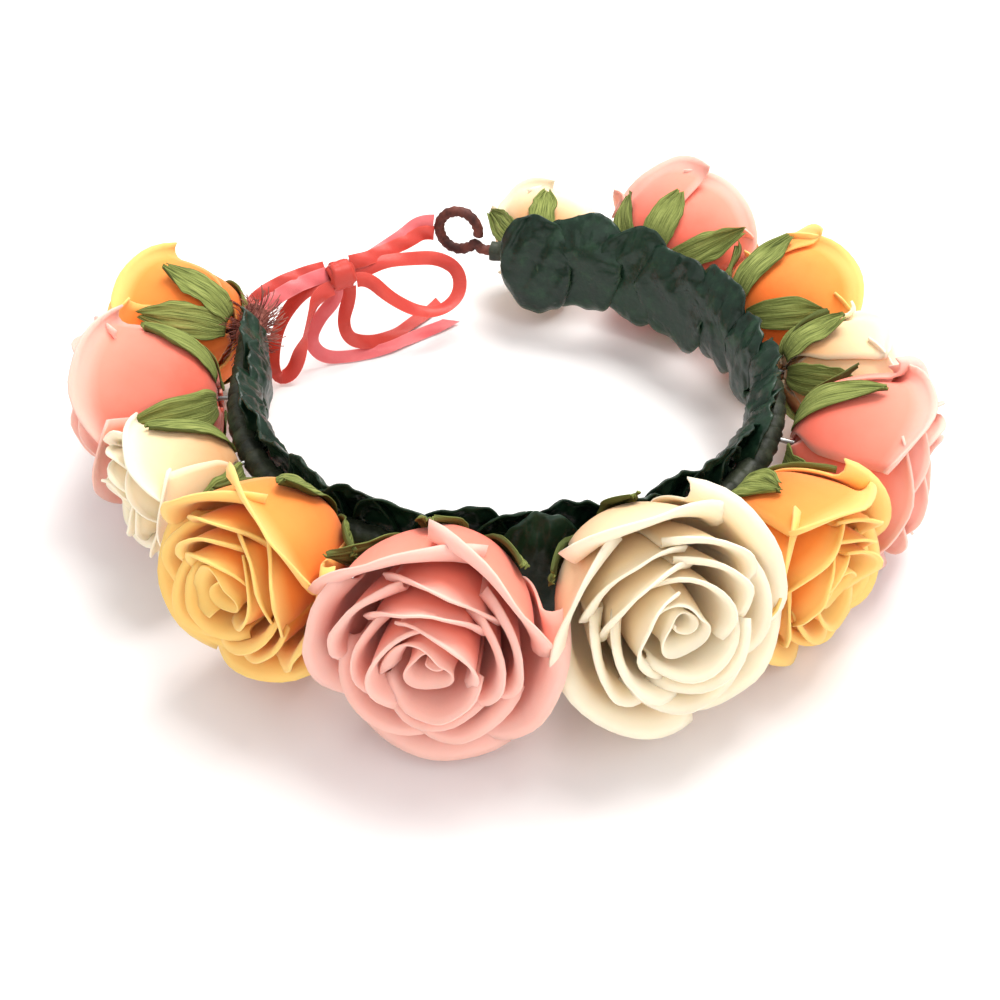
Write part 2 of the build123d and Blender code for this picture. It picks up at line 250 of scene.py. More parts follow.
def make_grain_group():
    """Fine unevenness of a soft or papery surface: a height and a mottled mask."""
    group, enter, leave = new_group(
        "surface_grain",
        [("Coarse", "NodeSocketFloat", 60.0), ("Fine", "NodeSocketFloat", 900.0),
         ("Fine Share", "NodeSocketFloat", 0.4), ("Stretch", "NodeSocketVector", (1, 1, 1))],
        [("Height", "NodeSocketFloat"), ("Mottle", "NodeSocketFloat")],
    )
    place = node(group, "ShaderNodeTexCoord")
    scaled = node(group, "ShaderNodeVectorMath", operation="MULTIPLY")
    group.links.new(place.outputs["Object"], scaled.inputs[0])
    group.links.new(enter.outputs["Stretch"], scaled.inputs[1])
    coarse = node(group, "ShaderNodeTexNoise", {"Detail": 4.0, "Roughness": 0.6})
    fine = node(group, "ShaderNodeTexNoise", {"Detail": 2.0, "Roughness": 0.5})
    for noise, label in ((coarse, "Coarse"), (fine, "Fine")):
        group.links.new(scaled.outputs[0], noise.inputs["Vector"])
        group.links.new(enter.outputs[label], noise.inputs["Scale"])
    mix = node(group, "ShaderNodeMix", data_type="FLOAT")
    group.links.new(enter.outputs["Fine Share"], mix.inputs["Factor"])
    group.links.new(coarse.outputs["Fac"], mix.inputs["A"])
    group.links.new(fine.outputs["Fac"], mix.inputs["B"])
    group.links.new(mix.outputs["Result"], leave.inputs["Height"])
    group.links.new(coarse.outputs["Fac"], leave.inputs["Mottle"])
    return group


def make_tint_group():
    """Splits a sheet's tint into root-to-tip, front, shade and outline masks."""
    group, _, leave = new_group(
        "sheet_tint", [],
        [("Tip", "NodeSocketFloat"), ("Front", "NodeSocketFloat"),
         ("Shade", "NodeSocketFloat"), ("Outline", "NodeSocketFloat")],
    )
    tint = node(group, "ShaderNodeAttribute", attribute_name="tint")
    split = node(group, "ShaderNodeSeparateColor")
    group.links.new(tint.outputs["Color"], split.inputs[0])
    for k, label in enumerate(("Tip", "Front", "Shade")):
        group.links.new(split.outputs[k], leave.inputs[label])
    group.links.new(tint.outputs["Alpha"], leave.inputs["Outline"])
    return group


GRAIN = make_grain_group()
TINT = make_tint_group()


class Finish:
    """One material under construction: a Principled shader and short ways to feed it."""

    def __init__(self, name, **constants):
        self.material = bpy.data.materials.new(name)
        self.material.use_nodes = True
        self.tree = self.material.node_tree
        self.shader = self.tree.nodes["Principled BSDF"]
        for key, value in constants.items():
            self.shader.inputs[key.replace("_", " ")].default_value = value

    def node(self, kind, values=None, **settings):
        return node(self.tree, kind, values, **settings)

    def link(self, source, target):
        self.tree.links.new(source, target)

    def group(self, tree, **values):
        made = self.node("ShaderNodeGroup", node_tree=tree)
        for key, value in values.items():
            made.inputs[key.replace("_", " ")].default_value = value
        return made

    def ramp(self, source, stops):
        made = self.node("ShaderNodeValToRGB")
        band = made.color_ramp
        while len(band.elements) < len(stops):
            band.elements.new(0.5)
        for element, (at, colour) in zip(band.elements, stops):
            element.position = at
            element.color = (*colour, 1)
        self.link(source, made.inputs["Fac"])
        return made.outputs["Color"]

    def mix(self, factor, a, b):
        """Colour a turning to colour b by a mask; a and b are sockets or plain colours."""
        made = self.node("ShaderNodeMix", data_type="RGBA")
        factor_socket, a_socket, b_socket = (made.inputs[k] for k in (0, 6, 7))
        self.link(factor, factor_socket)
        for value, socket in ((a, a_socket), (b, b_socket)):
            if isinstance(value, bpy.types.NodeSocket):
                self.link(value, socket)
            else:
                socket.default_value = (*value, 1)
        return made.outputs[2]

    def range(self, source, low, high, to_low, to_high):
        made = self.node(
            "ShaderNodeMapRange",
            {"From Min": low, "From Max": high, "To Min": to_low, "To Max": to_high},
        )
        self.link(source, made.inputs["Value"])
        return made.outputs["Result"]

    def paint(self, colour):
        self.link(colour, self.shader.inputs["Base Color"])

    def sum(self, a, b):
        made = self.node("ShaderNodeMath", operation="ADD")
        self.link(a, made.inputs[0])
        self.link(b, made.inputs[1])
        return made.outputs[0]

    def bump(self, height, strength, distance):
        made = self.node("ShaderNodeBump", {"Strength": strength, "Distance": distance})
        self.link(height, made.inputs["Height"])
        self.link(made.outputs["Normal"], self.shader.inputs["Normal"])


def foam_finish(name, back, front, root, rim):
    """Soft craft foam: one colour outside, another inside, and a lighter rolled rim, whose paler
    colour is a painted highlight.
    """
    finish = Finish(name, Roughness=0.72, Subsurface_Weight=0.22, Subsurface_Scale=0.003,
                    Sheen_Weight=0.12, Sheen_Roughness=0.5, Specular_IOR_Level=0.25)
    finish.shader.inputs["Subsurface Radius"].default_value = (1.0, 0.55, 0.35)
    tint = finish.group(TINT)
    grain = finish.group(GRAIN, Coarse=55.0, Fine=1400.0, Fine_Share=0.35)
    # towards the tip both sides turn to the rim colour, a painted highlight
    inside = finish.ramp(tint.outputs["Tip"], [(0.3, root), (0.82, front), (1.0, rim)])
    outside = finish.ramp(tint.outputs["Tip"], [(0.0, root), (0.35, back), (0.92, rim)])
    colour = finish.mix(tint.outputs["Front"], outside, inside)
    # painted highlight: the outline of every petal turns towards the pale rim colour
    painted_rim_highlight = finish.range(tint.outputs["Outline"], 0.86, 1.0, 0.0, 0.55)
    colour = finish.mix(painted_rim_highlight, colour, rim)
    uneven = finish.range(grain.outputs["Mottle"], 0.3, 0.7, 0.0, 0.16)
    colour = finish.mix(uneven, colour, back)
    finish.paint(colour)
    finish.bump(grain.outputs["Height"], 0.22, 0.0004)
    return finish.material


def crepe_finish():
    """Olive crepe paper with lengthwise wrinkles: painted highlights on their ridges, painted
    shade in their creases and on the back of each strip.
    """
    finish = Finish("crepe_paper", Roughness=0.8, Specular_IOR_Level=0.2)
    tint = finish.group(TINT)
    grain = finish.group(GRAIN, Coarse=120.0, Fine=900.0, Fine_Share=0.5)
    uv = finish.node("ShaderNodeUVMap", uv_map="surface")
    ridge = finish.node("ShaderNodeTexNoise", {"Scale": 1.0, "Detail": 3.0})
    stretch = finish.node("ShaderNodeMapping")
    stretch.inputs["Scale"].default_value = (34.0, 3.0, 1.0)
    finish.link(uv.outputs["UV"], stretch.inputs["Vector"])
    finish.link(stretch.outputs["Vector"], ridge.inputs["Vector"])
    # painted shade and highlight: near black in the creases of the wrinkles, yellow-green on
    # their ridges
    base = finish.ramp(ridge.outputs["Fac"], [
        (0.34, (0.055, 0.075, 0.016)), (0.5, (0.19, 0.23, 0.055)), (0.68, (0.36, 0.40, 0.12)),
    ])
    # painted shade: the back of each strip is near black
    under = finish.mix(tint.outputs["Front"], (0.06, 0.08, 0.02), base)
    shade = finish.range(tint.outputs["Shade"], 0.0, 1.0, 0.0, 0.4)
    colour = finish.mix(shade, under, (0.27, 0.31, 0.085))
    finish.paint(colour)
    height = finish.sum(ridge.outputs["Fac"], grain.outputs["Height"])
    finish.bump(height, 0.7, 0.0006)
    return finish.material


def waxed_leaf_finish():
    """Dark green leaf under a glossy, puckered coat of wax."""
    finish = Finish("waxed_leaf", Roughness=0.4, Coat_Weight=0.22, Coat_Roughness=0.07,
                    Specular_IOR_Level=0.2)
    tint = finish.group(TINT)
    grain = finish.group(GRAIN, Coarse=130.0, Fine=420.0, Fine_Share=0.35)
    base = finish.ramp(grain.outputs["Mottle"], [
        (0.32, (0.004, 0.012, 0.008)), (0.55, (0.008, 0.026, 0.015)),
        (0.75, (0.02, 0.06, 0.028)),
    ])
    shade = finish.range(tint.outputs["Shade"], 0.0, 1.0, 0.0, 0.35)
    colour = finish.mix(shade, base, (0.012, 0.04, 0.018))
    rim = finish.range(tint.outputs["Outline"], 0.93, 1.0, 0.0, 0.5)
    colour = finish.mix(rim, colour, (0.05, 0.09, 0.045))
    finish.paint(colour)
    rough = finish.range(grain.outputs["Mottle"], 0.3, 0.7, 0.3, 0.55)
    finish.link(rough, finish.shader.inputs["Roughness"])
    cells = finish.node("ShaderNodeTexVoronoi", {"Scale": 260.0}, feature="SMOOTH_F1")
    place = finish.node("ShaderNodeTexCoord")
    finish.link(place.outputs["Object"], cells.inputs["Vector"])
    height = finish.sum(cells.outputs["Distance"], grain.outputs["Height"])
    finish.bump(height, 0.75, 0.0011)
    return finish.material


def tape_finish(name, dark, light, roughness):
    """Stretched tape or raffia: mottled, paler where it is worn."""
    finish = Finish(name, Roughness=roughness, Specular_IOR_Level=0.35)
    grain = finish.group(GRAIN, Coarse=170.0, Fine=1100.0, Fine_Share=0.5)
    base = finish.ramp(grain.outputs["Mottle"], [(0.35, dark), (0.68, light)])
    finish.paint(base)
    finish.bump(grain.outputs["Height"], 0.6, 0.0005)
    return finish.material


def satin_finish(name, face, painted_sheen):
    """Woven satin: bright threads across the ribbon, random patches of painted sheen, and a
    painted highlight along both woven edges.
    """
    finish = Finish(name, Roughness=0.36, Sheen_Weight=0.08, Sheen_Roughness=0.3,
                    Specular_IOR_Level=0.4, Anisotropic=0.4)
    tint = finish.group(TINT)
    uv = finish.node("ShaderNodeUVMap", uv_map="surface")
    thread = finish.node("ShaderNodeTexWave", {"Scale": 60.0, "Distortion": 1.2, "Detail": 2.0},
                         bands_direction="Y")
    finish.link(uv.outputs["UV"], thread.inputs["Vector"])
    grain = finish.group(GRAIN, Coarse=90.0, Fine=1600.0, Fine_Share=0.5)
    # painted sheen: random patches turn towards the lighter sheen colour
    uneven = finish.range(grain.outputs["Mottle"], 0.3, 0.7, 0.0, 0.5)
    colour = finish.mix(uneven, face, painted_sheen)
    edge = finish.node("ShaderNodeSeparateXYZ")
    finish.link(uv.outputs["UV"], edge.inputs[0])
    centred = finish.node("ShaderNodeMath", {1: 0.5}, operation="SUBTRACT")
    finish.link(edge.outputs["X"], centred.inputs[0])
    away = finish.node("ShaderNodeMath", operation="ABSOLUTE")
    finish.link(centred.outputs[0], away.inputs[0])
    # painted highlight along both edges of the ribbon
    edge_highlight = finish.range(away.outputs[0], 0.40, 0.47, 0.0, 0.6)
    colour = finish.mix(edge_highlight, colour, painted_sheen)
    finish.paint(colour)
    height = finish.sum(thread.outputs["Fac"], grain.outputs["Height"])
    finish.bump(height, 0.25, 0.00025)
    gloss = finish.range(tint.outputs["Shade"], 0, 1, 0.28, 0.42)
    finish.link(gloss, finish.shader.inputs["Roughness"])
    return finish.material


def wire_finish():
    finish = Finish("drawn_wire", Metallic=1.0, Roughness=0.35)
    grain = finish.group(GRAIN, Coarse=300.0, Fine=2500.0, Fine_Share=0.5)
    base = finish.ramp(grain.outputs["Mottle"],
                       [(0.3, (0.20, 0.20, 0.19)), (0.7, (0.46, 0.46, 0.45))])
    finish.paint(base)
    finish.bump(grain.outputs["Height"], 0.2, 0.0001)
    return finish.material


FOAM_FINISH = {
    colour: foam_finish(f"foam_{colour}", *shades) for colour, shades in {
        # the petal's outside, its inside, its root and its rim, whose paler colour is a painted
        # highlight
        "orange": ((0.96, 0.50, 0.13), (0.94, 0.29, 0.05), (0.85, 0.15, 0.015),
                   (0.98, 0.63, 0.20)),
        "pink": ((0.92, 0.42, 0.34), (0.90, 0.27, 0.19), (0.80, 0.12, 0.07),
                 (0.95, 0.55, 0.47)),
        "cream": ((0.92, 0.76, 0.52), (0.90, 0.69, 0.42), (0.60, 0.28, 0.10),
                  (0.95, 0.84, 0.65)),
    }.items()
}
CREPE_FINISH = crepe_finish()
LEAF_FINISH = waxed_leaf_finish()
FLORAL_TAPE = tape_finish("floral_tape", (0.012, 0.016, 0.010), (0.05, 0.06, 0.035), 0.5)
BROWN_TAPE = tape_finish("brown_raffia", (0.045, 0.010, 0.008), (0.17, 0.045, 0.03), 0.6)
RAFFIA = tape_finish("raffia", (0.12, 0.025, 0.018), (0.42, 0.15, 0.11), 0.7)
# each satin: its own colour, then the lighter colour of its painted sheen
CORAL = satin_finish("satin_coral", (0.55, 0.040, 0.028), (0.68, 0.085, 0.055))
PINK = satin_finish("satin_pink", (0.74, 0.12, 0.13), (0.82, 0.22, 0.22))
WIRE = wire_finish()
make_camera()


# ---- roses ----
def node_points(name):
    mesh = frame["nodes"][name].data
    points = np.zeros(len(mesh.vertices) * 3)
    mesh.vertices.foreach_get("co", points)
    return points.reshape(-1, 3) / MM


def above_table(points):
    """Petals and ribbon that would sink into the table lie on it instead."""
    z = points[..., 2]
    points[..., 2] = 0.3 + np.logaddexp(0, (z - 0.3) * 1.4) / 1.4
    return points


class Head:
    """A rose's own directions and sizes, from its bud and its outer petals."""

    def __init__(self, number):
        bud = node_points(f"rose_{number}_bud")
        middle = (bud.min(0) + bud.max(0)) / 2
        _, _, ways = np.linalg.svd(bud - bud.mean(0), full_matrices=False)
        axis = ways[0] * np.sign(ways[0] @ (middle * [1, 1, 0]))
        run = (bud - bud.mean(0)) @ axis
        self.origin = bud.mean(0) + axis * (run.min() - NECK)
        self.depth = (np.ptp(run) + NECK) / 0.95
        petals = node_points(f"rose_{number}_outer_petals") - self.origin
        rim = np.linalg.norm(petals - np.outer(petals @ axis, axis), axis=1).max()
        self.wide, self.deep = rim / DRAWN_RIM, self.depth / DRAWN_DEPTH
        self.axis = axis
        self.level = np.cross([0, 0, 1], axis)
        self.level /= np.linalg.norm(self.level)
        self.up = np.cross(axis, self.level)

    def place(self, points):
        turned = np.stack([self.level, self.up, self.axis])
        return above_table(self.origin + points @ turned)


def bezier(points, count=60):
    a, b, c, d = (np.array(p, float) for p in points)
    t = np.linspace(0, 1, count)[:, None]
    return a * (1 - t) ** 3 + 3 * b * t * (1 - t) ** 2 + 3 * c * t * t * (1 - t) + d * t**3


def petal(sheets, rng, profile, turn_at, spread, roll, turn, taper, lap, tuck):
    """One foam petal: a cupped sheet whose rim rolls outwards, most at its corners."""
    n, m = 15, 22
    line = bezier(profile)
    step = np.linalg.norm(np.diff(line, axis=0), axis=1)
    run = np.concatenate([[0], np.cumsum(step)])
    heading = np.unwrap(np.arctan2(*np.gradient(line, axis=0).T[::-1]))
    u = np.linspace(-1, 1, n)[:, None]
    v = np.linspace(0, 1, m)[None, :]
    lean = rng.uniform(-0.25, 0.25)
    corner = np.abs(u + lean) / (1 + abs(lean))
    length = run[-1] * (1 - taper * corner**1.7 + rng.uniform(-0.02, 0.02)) + roll * 0.6
    s = v * length
    rolled = np.clip((s - (length - roll)) / roll, 0, 1)
    much = turn * (0.42 + 0.85 * corner**1.3) * rng.uniform(0.85, 1.15)
    way = np.interp(np.minimum(s, length - roll), run, heading)
    way = way - np.radians(much) * rolled**1.2
    ds = length / (m - 1)
    root = np.zeros((n, 1))
    r = line[0, 0] + np.concatenate([root, np.cumsum(np.cos(way)[:, :-1] * ds, 1)], 1)
    h = line[0, 1] + np.concatenate([root, np.cumsum(np.sin(way)[:, :-1] * ds, 1)], 1)
    grow = np.clip(v / 0.45, 0, 1)
    widen = 0.45 + 0.55 * grow * grow * (3 - 2 * grow)
    uu, vv = np.broadcast_arrays(u, v)
    r = r + lap * u * np.sqrt(v) - tuck * u**2 * v + wave(rng, uu, vv, 0.7) * v
    h = h + wave(rng, uu, vv, 0.8) * v
    angle = turn_at + math.radians(spread) * u * widen + wave(rng, uu, vv, 0.03) * v
    grid = np.stack([r * np.cos(angle), r * np.sin(angle), h], -1)
    sheets.add(grid, FOAM, rng.uniform())


def heart(sheets, rng, radius, foot, top):
    """The tight roll of foam in the middle of a rose."""
    n, m = 84, 14
    t = np.linspace(0, 1, n)[:, None]
    v = np.linspace(0, 1, m)[None, :]
    angle = rng.uniform(0, 6.28) + t * 1.9 * 2 * math.pi
    body = 0.66 + 0.36 * np.sin(math.pi * np.clip(v, 0, 1) ** 0.75)
    flick = np.clip((v - 0.8) / 0.2, 0, 1) ** 2
    r = (1.3 + (radius - 1.3) * t**0.8) * body
    r = r + flick * (0.3 + 2.6 * t) * (1 + np.sin(angle * 1.3))
    r = r * (1 + 0.10 * np.cos(angle * 3 + 1))
    rim = top - 4.6 * (1 - t) + 1.5 * np.sin(angle * 1.5) * t
    h = foot + (rim - foot) * v
    grid = np.stack([r * np.cos(angle), r * np.sin(angle), h], -1)
    sheets.add(grid, FOAM * 0.8, rng.uniform())


def petal_ring(sheets, rng, head, count, start, shape, spread, roll, turn, taper, *laps):
    """A ring of overlapping petals, in one of the outlines drawn below."""
    for k in range(count):
        profile = [(r * head.wide, h * head.deep) for r, h in shape]
        end_r, end_h = profile[3]
        profile[3] = (end_r * rng.uniform(0.96, 1.04), end_h + rng.uniform(-1.2, 1.2))
        turn_at = start + k * 2 * math.pi / count + rng.uniform(-0.09, 0.09)
        petal(sheets, rng, profile, turn_at, spread, roll * head.wide, turn, taper, *laps)


# a petal's middle line from root to tip, as distances from the rose's axis and along it
OUTSIDE = [(4.6, 8.5), (22.5, 10), (26, 30), (27.3, 49)]
MIDDLE = [(4.4, 10.5), (18, 16), (21, 35), (21.8, 53.5)]
INSIDE = [(4.2, 13), (13.5, 20), (16.6, 38), (17.0, 56.5)]
CENTRE = [(4.0, 16), (11, 25), (12.4, 42), (12.2, 58.5)]
RINGS = {
    # for each foam piece its rings: how many petals, the ring's turn, the middle line, half
    # the angle that a petal takes, how much of the rim rolls and how far, how much shorter
    # the corners are, how far one side stands off, and how far both are tucked in
    "outer_petals": [(5, 0, OUTSIDE, 47, 10.5, 128, 0.18, 1.9, 0),
                     (5, 0.63, MIDDLE, 46, 6.6, 112, 0.18, 1.4, 2.0)],
    "inner_petals": [(4, 0.2, INSIDE, 58, 6, 108, 0.19, 1.4, 1.6)],
    "bud": [(3, 0.5, CENTRE, 76, 5, 92, 0.18, 1.4, 1.0)],
}


def make_rose(number):
    rng = np.random.default_rng(300 + int(number))
    head = Head(number)
    body = BODY_OF_ROSE[number]
    colour = COLOURS[number]
    start = rng.uniform(0, 6.28)
    for kind, rings in RINGS.items():
        sheets = Sheets()
        for count, turned, *ring in rings:
            petal_ring(sheets, rng, head, count, start + turned, *ring)
        if kind == "bud":
            heart(sheets, rng, HEART_RADIUS * head.wide, HEART_FOOT * head.deep,
                  HEART_TOP * head.deep)
        piece = sheets.piece(f"rose_{number}_{kind}_foam", FOAM_FINISH[colour], head.place)
        stands_for(piece, f"rose_{number}_{kind}", body)
    return head


def sepal(sheets, rng, head, turn_at, reach, half_width, lift):
    """A torn strip of crepe paper lying over the back of a rose."""
    n, m = 13, 26
    line = bezier([(r * head.wide, h * head.deep) for r, h in OUTSIDE])
    step = np.linalg.norm(np.diff(line, axis=0), axis=1)
    run = np.concatenate([[0], np.cumsum(step)])
    u = np.linspace(-1, 1, n)[:, None]
    v = np.linspace(0, 1, m)[None, :]
    uu, vv = np.broadcast_arrays(u, v)
    s = 1.5 + v * (reach + wave(rng, uu, vv, 1.6) * v)
    r = np.interp(s, run, line[:, 0])
    h = np.interp(s, run, line[:, 1])
    outline = np.clip(0.50 + 0.62 * np.sin(math.pi * v**0.9), 0.2, 1) * (1 - 0.55 * v**6)
    half = half_width * outline * (1 + wave(rng, uu, vv, 0.13, 5))
    away = 1.2 + 2.3 * np.sqrt(v) + wave(rng, uu, vv, 0.6) * v
    away = away + lift * np.clip((v - 0.55) / 0.45, 0, 1) ** 2
    folds = np.sin(u * 11 + v * 2 + rng.uniform(0, 6)) + 0.6 * np.sin(u * 23 + rng.uniform(0, 6))
    away = away + 0.34 * folds * (0.5 + v) + 0.9 * np.abs(u) ** 3
    r, h = r + away * 0.9, h - away * 0.35
    angle = turn_at + u * half / np.maximum(r, 6.5)
    grid = np.stack([r * np.cos(angle), r * np.sin(angle), h], -1)
    sheets.add(head.place(grid.reshape(-1, 3)).reshape(n, m, 3), CREPE, rng.uniform())


def make_sepals(side, heads):
    """Every rose has three strips on its upper side, where they show, and one below."""
    rng = np.random.default_rng(len(side) * 7)
    sheets = Sheets()
    for head in heads:
        for at in (32, 94, 160, 250):
            turn_at = math.radians(at + rng.uniform(-15, 15))
            reach = rng.uniform(30, 40) * head.depth / DRAWN_DEPTH
            sepal(sheets, rng, head, turn_at, reach, rng.uniform(5.2, 6.4), rng.uniform(-0.5, 6))
    piece = sheets.piece(f"sepals_{side}_crepe", CREPE_FINISH)
    stands_for(piece, f"sepals_{side}", BODY_OF_SIDE[side])


# ---- band: leaves, tape and wire ----
BODY_OF_SIDE = {"left": "left_arm", "front": "front", "right": "right_arm"}
WIRE_Z = sum(c.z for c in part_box("wire_front")) / 2 / MM
BAND_R = np.linalg.norm(node_points("wire_front")[:, :2], axis=1).mean()
TAPE_R = (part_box("tape_front")[1].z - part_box("tape_front")[0].z) / 2 / MM
LEFT_STRAIGHT, RIGHT_STRAIGHT = 152.0, 44.0      # azimuths where the ends run straight
LEFT_END, RIGHT_END = 123.5, 61.0
LEFT_FLEX, RIGHT_FLEX = 189.0, 343.8
FLEX_GAP = 2.0


def wire_radius(azimuth):
    """Distance of the wire from the middle of the crown; its two ends run straight."""
    azimuth = azimuth % 360
    if RIGHT_STRAIGHT < azimuth < 90:
        return BAND_R / math.cos(math.radians(azimuth - RIGHT_STRAIGHT))
    if 90 < azimuth < LEFT_STRAIGHT:
        return BAND_R / math.cos(math.radians(LEFT_STRAIGHT - azimuth))
    return BAND_R


def band_line(first, last, count):
    """Points of the wire between two azimuths."""
    turn = np.linspace(first, last, count)
    radius = np.array([wire_radius(a) for a in turn])
    turn = np.radians(turn)
    return np.stack([radius * np.cos(turn), radius * np.sin(turn), np.full(count, WIRE_Z)], -1)


def leaf(sheets, rng, azimuth, length, height, layer, flare, limits):
    """A puckered waxed leaf standing inside the band, its top turned out over the tape."""
    n, m = 34, 26
    u = np.linspace(-1, 1, n)[:, None]
    v = np.linspace(0, 1, m)[None, :]
    uu, vv = np.broadcast_arrays(u, v)
    half = math.degrees(length / 2 / wire_radius(azimuth))
    turn = np.clip(azimuth + u[:, 0] * half, *limits)
    radius = np.array([wire_radius(a) for a in turn])[:, None]
    outline = np.clip(1 - np.abs(u) ** 2.8, 0.02, 1) ** 0.5
    outline = outline * (1 + wave(rng, uu, np.zeros_like(vv), 0.07, 3))
    tall = height * np.maximum(outline, 0.16)
    across = vv * 2 - 1
    z = WIRE_Z + rng.uniform(-1.5, 1.5) + across * tall / 2 + u * rng.uniform(-2.5, 2.5)
    z = z + wave(rng, uu, vv, 1.2, 3)
    inward = TAPE_R + 1.2 + layer * 1.3 + 1.3 * (1 - across**2)
    inward = inward - flare * np.clip((vv - 0.62) / 0.38, 0, 1) ** 1.7
    inward = inward - 2.2 * np.clip((0.25 - vv) / 0.25, 0, 1) ** 2
    vein = np.exp(-(((across + 0.12 * np.sin(u * 3)) / 0.07) ** 2)) * 0.9
    side = np.sin((np.abs(across) * 5.5 + u * 6) * 1.8)
    upper = 0.25 + 0.75 * np.clip((vv - 0.45) / 0.3, 0, 1)
    pucker = (wave(rng, uu, vv, 1.0, 6) + 0.36 * side * np.abs(across) ** 0.5) * upper
    inward = inward + pucker - vein * upper + wave(rng, uu, vv, 1.3, 2)
    reach = radius - inward
    turn = np.radians(turn)[:, None]
    grid = np.stack([reach * np.cos(turn), reach * np.sin(turn), z], -1)
    sheets.add(above_table(grid)[:, ::-1], WAXED, rng.uniform())


LEAVES = {
    # first and last azimuth of the leaves' middles, how many, and the azimuths allowed
    "left": (137.0, 182.5, 5, (131.5, 188.2)),
    "front": (196.0, 336.5, 14, (189.8, 343.0)),
    "right": (353.5, 397.0, 4, (344.6, 419.0)),
}


def make_leaves(body):
    first, last, count, limits = LEAVES[body]
    rng = np.random.default_rng(40 + count)
    sheets = Sheets()
    for k in range(count):
        azimuth = first + (last - first) * k / (count - 1)
        height = {"right": 37, "front": 30, "left": 27}[body] + rng.uniform(-2.5, 2.5)
        length = rng.uniform(33, 38) if body == "right" else rng.uniform(26, 32)
        leaf(sheets, rng, azimuth, length, height, k % 2, rng.uniform(2.5, 6), limits)
    if body == "right":      # the broad leaf at the end
        leaf(sheets, rng, 409.2, 31, 42, 2, 2.0, limits)
    if body == "front":      # one that stands outside the band, between two roses
        leaf(sheets, rng, 242.8, 24, 36, -8.5, -3, limits)
    piece = sheets.piece(f"leaves_{body}_waxed", LEAF_FINISH)
    stands_for(piece, f"leaves_{body}", BODY_OF_SIDE[body])


def nodes_tree(name, inputs):
    """An empty geometry tree with named inputs; returns it with its two end nodes."""
    tree = bpy.data.node_groups.new(name, "GeometryNodeTree")
    tree.interface.new_socket("Geometry", in_out="INPUT", socket_type="NodeSocketGeometry")
    for label, kind, value in inputs:
        socket = tree.interface.new_socket(label, in_out="INPUT", socket_type=kind)
        if value is not None:
            socket.default_value = value
    tree.interface.new_socket("Geometry", in_out="OUTPUT", socket_type="NodeSocketGeometry")
    return tree, tree.nodes.new("NodeGroupInput"), tree.nodes.new("NodeGroupOutput")


def joined(tree, *pairs):
    for source, target in pairs:
        tree.links.new(source, target)


def math_node(tree, operation, a, b=None):
    made = tree.nodes.new("ShaderNodeMath")
    made.operation = operation
    for value, socket in ((a, made.inputs[0]), (b, made.inputs[1])):
        if isinstance(value, bpy.types.NodeSocket):
            tree.links.new(value, socket)
        elif value is not None:
            socket.default_value = value
    return made.outputs[0]


def wound_tape_tree():
    """A path wrapped in tape: each turn laps over the one before it."""
    tree, enter, leave = nodes_tree("wound_tape", [
        ("Radius", "NodeSocketFloat", 0.004), ("Pitch", "NodeSocketFloat", 0.006),
        ("Lap", "NodeSocketFloat", 0.0006), ("Wrinkle", "NodeSocketFloat", 0.0003),
        ("Seed", "NodeSocketFloat", 1.0), ("Material", "NodeSocketMaterial", None),
    ])
    even_path = node(tree, "GeometryNodeResampleCurve", mode="LENGTH")
    even_path.inputs["Length"].default_value = 0.0009
    along = tree.nodes.new("GeometryNodeSplineParameter")
    keep = tree.nodes.new("GeometryNodeCaptureAttribute")
    keep.capture_items.new("FLOAT", "Along")
    ring = node(tree, "GeometryNodeCurvePrimitiveCircle")
    ring.inputs["Resolution"].default_value = 22
    round_at = tree.nodes.new("GeometryNodeSplineParameter")
    keep_round = tree.nodes.new("GeometryNodeCaptureAttribute")
    keep_round.capture_items.new("FLOAT", "Round")
    skin = tree.nodes.new("GeometryNodeCurveToMesh")
    skin.inputs["Fill Caps"].default_value = True
    joined(
        tree,
        (enter.outputs["Geometry"], even_path.inputs["Curve"]),
        (even_path.outputs["Curve"], keep.inputs["Geometry"]),
        (along.outputs["Length"], keep.inputs[1]),
        (enter.outputs["Radius"], ring.inputs["Radius"]),
        (ring.outputs["Curve"], keep_round.inputs["Geometry"]),
        (round_at.outputs["Factor"], keep_round.inputs[1]),
        (keep.outputs["Geometry"], skin.inputs["Curve"]),
        (keep_round.outputs["Geometry"], skin.inputs["Profile Curve"]),
    )
    turns = math_node(tree, "DIVIDE", keep.outputs[1], enter.outputs["Pitch"])
    helix = math_node(tree, "SUBTRACT", turns, keep_round.outputs[1])
    lap = math_node(tree, "MULTIPLY", math_node(tree, "FRACT", helix), enter.outputs["Lap"])
    noise = node(tree, "ShaderNodeTexNoise", {"Scale": 480.0, "Detail": 3.0},
                 noise_dimensions="4D")
    joined(tree, (enter.outputs["Seed"], noise.inputs["W"]))
    uneven = math_node(tree, "SUBTRACT", noise.outputs["Fac"], 0.5)
    uneven = math_node(tree, "MULTIPLY", uneven, enter.outputs["Wrinkle"])
    lift = math_node(tree, "ADD", lap, math_node(tree, "MULTIPLY", uneven, 2.0))
    normal = tree.nodes.new("GeometryNodeInputNormal")
    offset = node(tree, "ShaderNodeVectorMath", operation="SCALE")
    shift = tree.nodes.new("GeometryNodeSetPosition")
    real = tree.nodes.new("GeometryNodeRealizeInstances")
    paint = tree.nodes.new("GeometryNodeSetMaterial")
    joined(
        tree,
        (normal.outputs["Normal"], offset.inputs[0]),
        (lift, offset.inputs["Scale"]),
        (skin.outputs["Mesh"], shift.inputs["Geometry"]),
        (offset.outputs[0], shift.inputs["Offset"]),
        (shift.outputs["Geometry"], real.inputs["Geometry"]),
        (real.outputs["Geometry"], paint.inputs["Geometry"]),
        (enter.outputs["Material"], paint.inputs["Material"]),
        (paint.outputs["Geometry"], leave.inputs["Geometry"]),
    )
    return tree


